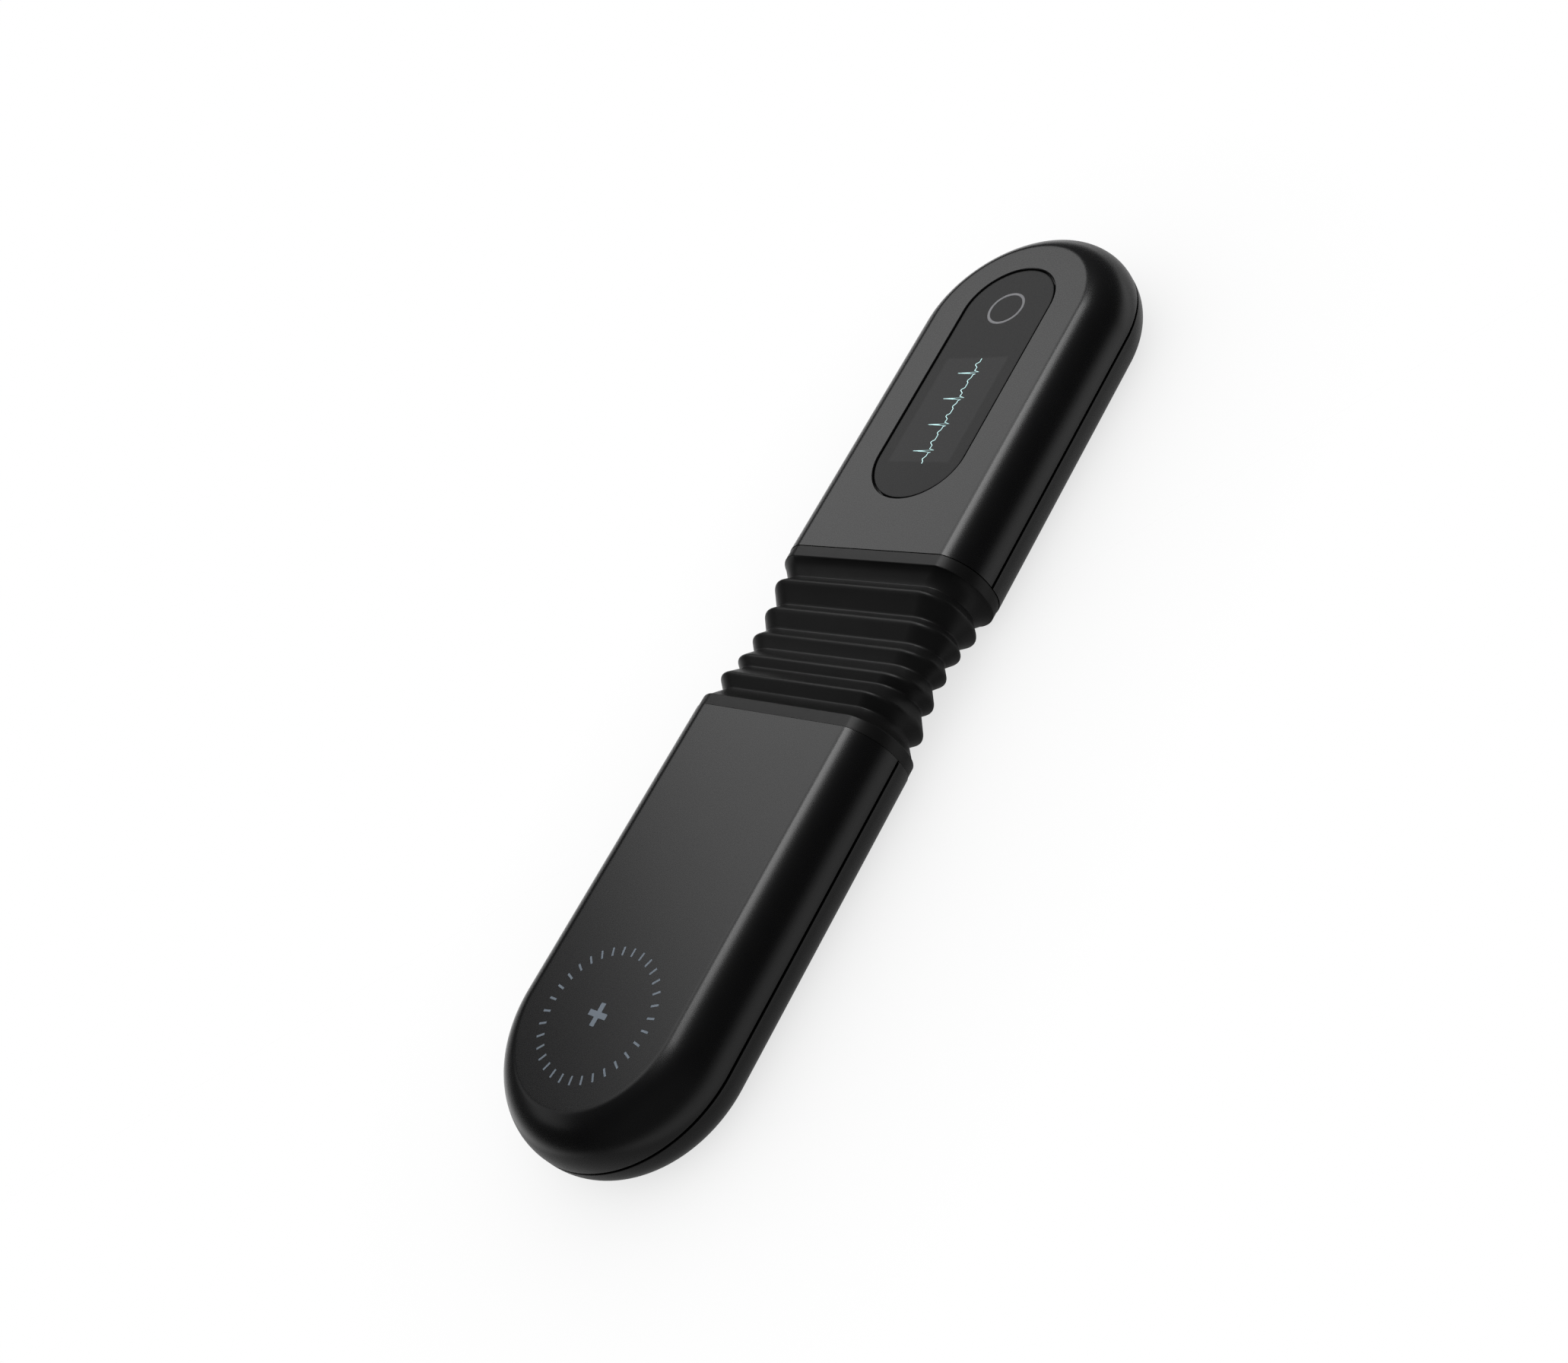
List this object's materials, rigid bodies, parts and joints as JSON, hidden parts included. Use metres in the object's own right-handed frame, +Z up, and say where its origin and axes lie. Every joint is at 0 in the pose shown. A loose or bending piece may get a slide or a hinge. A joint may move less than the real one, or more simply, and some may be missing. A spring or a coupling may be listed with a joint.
{
  "type": "handheld ECG recorder",
  "caption": "Slim hand-held heart recorder: two rigid capsule halves joined by a ribbed bellows, with a display window, a thumb pad and electrodes underneath.",
  "frame": {"origin": "on the flat underside, below the middle of the bellows", "axes": "+X across the width, +Y along the length towards the display end, +Z up out of the top face"},
  "size_m": [0.04, 0.1716, 0.0154],
  "materials": {
    "coated_plastic": "dark grey soft-touch coating, satin",
    "window_glass": "smoked glass, polished",
    "pale_ink": "printed pale grey ink",
    "light_guide": "tinted light guide, satin",
    "bellows_rubber": "matte black silicone rubber",
    "gasket_rubber": "matte black",
    "electrode_steel": "finely brushed stainless steel",
    "gold_plate": "gold plated",
    "screw_steel": "blackened steel",
    "inner_plastic": "moulded, matt",
    "joint_steel": "machined",
    "foam_tape": "matt foam tape",
    "chip_black": "moulded epoxy",
    "can_steel": "plated can",
    "lamp_white": "clear resin",
    "flex_amber": "polyimide film",
    "board_green": "solder mask",
    "cell_foil": "pouch foil",
    "lead_red": "insulated wire"
  },
  "bodies": {
    "display_half": {"display_top_shell": "coated_plastic", "display_bottom_cover": "coated_plastic", "display_gasket": "gasket_rubber", "display_window": "window_glass", "window_adhesive": "foam_tape", "touch_ring": "pale_ink", "display_panel": "chip_black", "touch_sensor": "flex_amber", "display_flex": "flex_amber", "display_connector": "inner_plastic", "main_board": "board_green", "processor_chip": "chip_black", "radio_module": "can_steel", "memory_chip": "chip_black", "main_board_connector": "inner_plastic", "vibration_motor": "can_steel", "display_electrode": "electrode_steel", "display_electrode_contact": "gold_plate", "display_cover_screw_1": "screw_steel", "display_cover_screw_2": "screw_steel", "display_cover_screw_3": "screw_steel", "main_board_screw_1": "screw_steel", "main_board_screw_2": "screw_steel", "main_board_screw_3": "screw_steel", "display_neck_frame": "inner_plastic"},
    "neck_link": {"swivel_link": "joint_steel", "left_bend_pin": "joint_steel", "right_bend_pin": "joint_steel", "swing_pin": "joint_steel", "bellows": "bellows_rubber", "link_cable": "flex_amber"},
    "electrode_half": {"electrode_top_shell": "coated_plastic", "electrode_bottom_cover": "coated_plastic", "electrode_gasket": "gasket_rubber", "tick_light_guide": "light_guide", "mark_light_guide": "light_guide", "thumb_electrode": "electrode_steel", "thumb_contact": "gold_plate", "pad_light": "lamp_white", "electrode_board": "board_green", "amplifier_chip": "chip_black", "charger_chip": "chip_black", "electrode_board_connector": "inner_plastic", "chest_electrode": "electrode_steel", "chest_electrode_contact": "gold_plate", "battery_cell": "cell_foil", "battery_pad": "foam_tape", "battery_lead": "lead_red", "charging_contact_1": "gold_plate", "charging_contact_2": "gold_plate", "electrode_cover_screw_1": "screw_steel", "electrode_cover_screw_2": "screw_steel", "electrode_cover_screw_3": "screw_steel", "electrode_board_screw_1": "screw_steel", "electrode_board_screw_2": "screw_steel", "electrode_board_screw_3": "screw_steel", "electrode_neck_frame": "inner_plastic"}
  },
  "joints": [
    {"name": "neck_bend", "type": "hinge", "parent": "display_half", "child": "neck_link", "pos_m": [0, 0, 0.0077], "axis": [1, 0, 0], "range_deg": [-20, 20], "stiffness_Nm_per_rad": 0.8, "deforming": ["bellows", "link_cable"]},
    {"name": "neck_swing", "type": "hinge", "parent": "neck_link", "child": "electrode_half", "pos_m": [0, 0, 0.0077], "axis": [0, 0, 1], "range_deg": [-10, 10], "stiffness_Nm_per_rad": 0.8, "deforming": ["bellows", "link_cable"]}
  ]
}
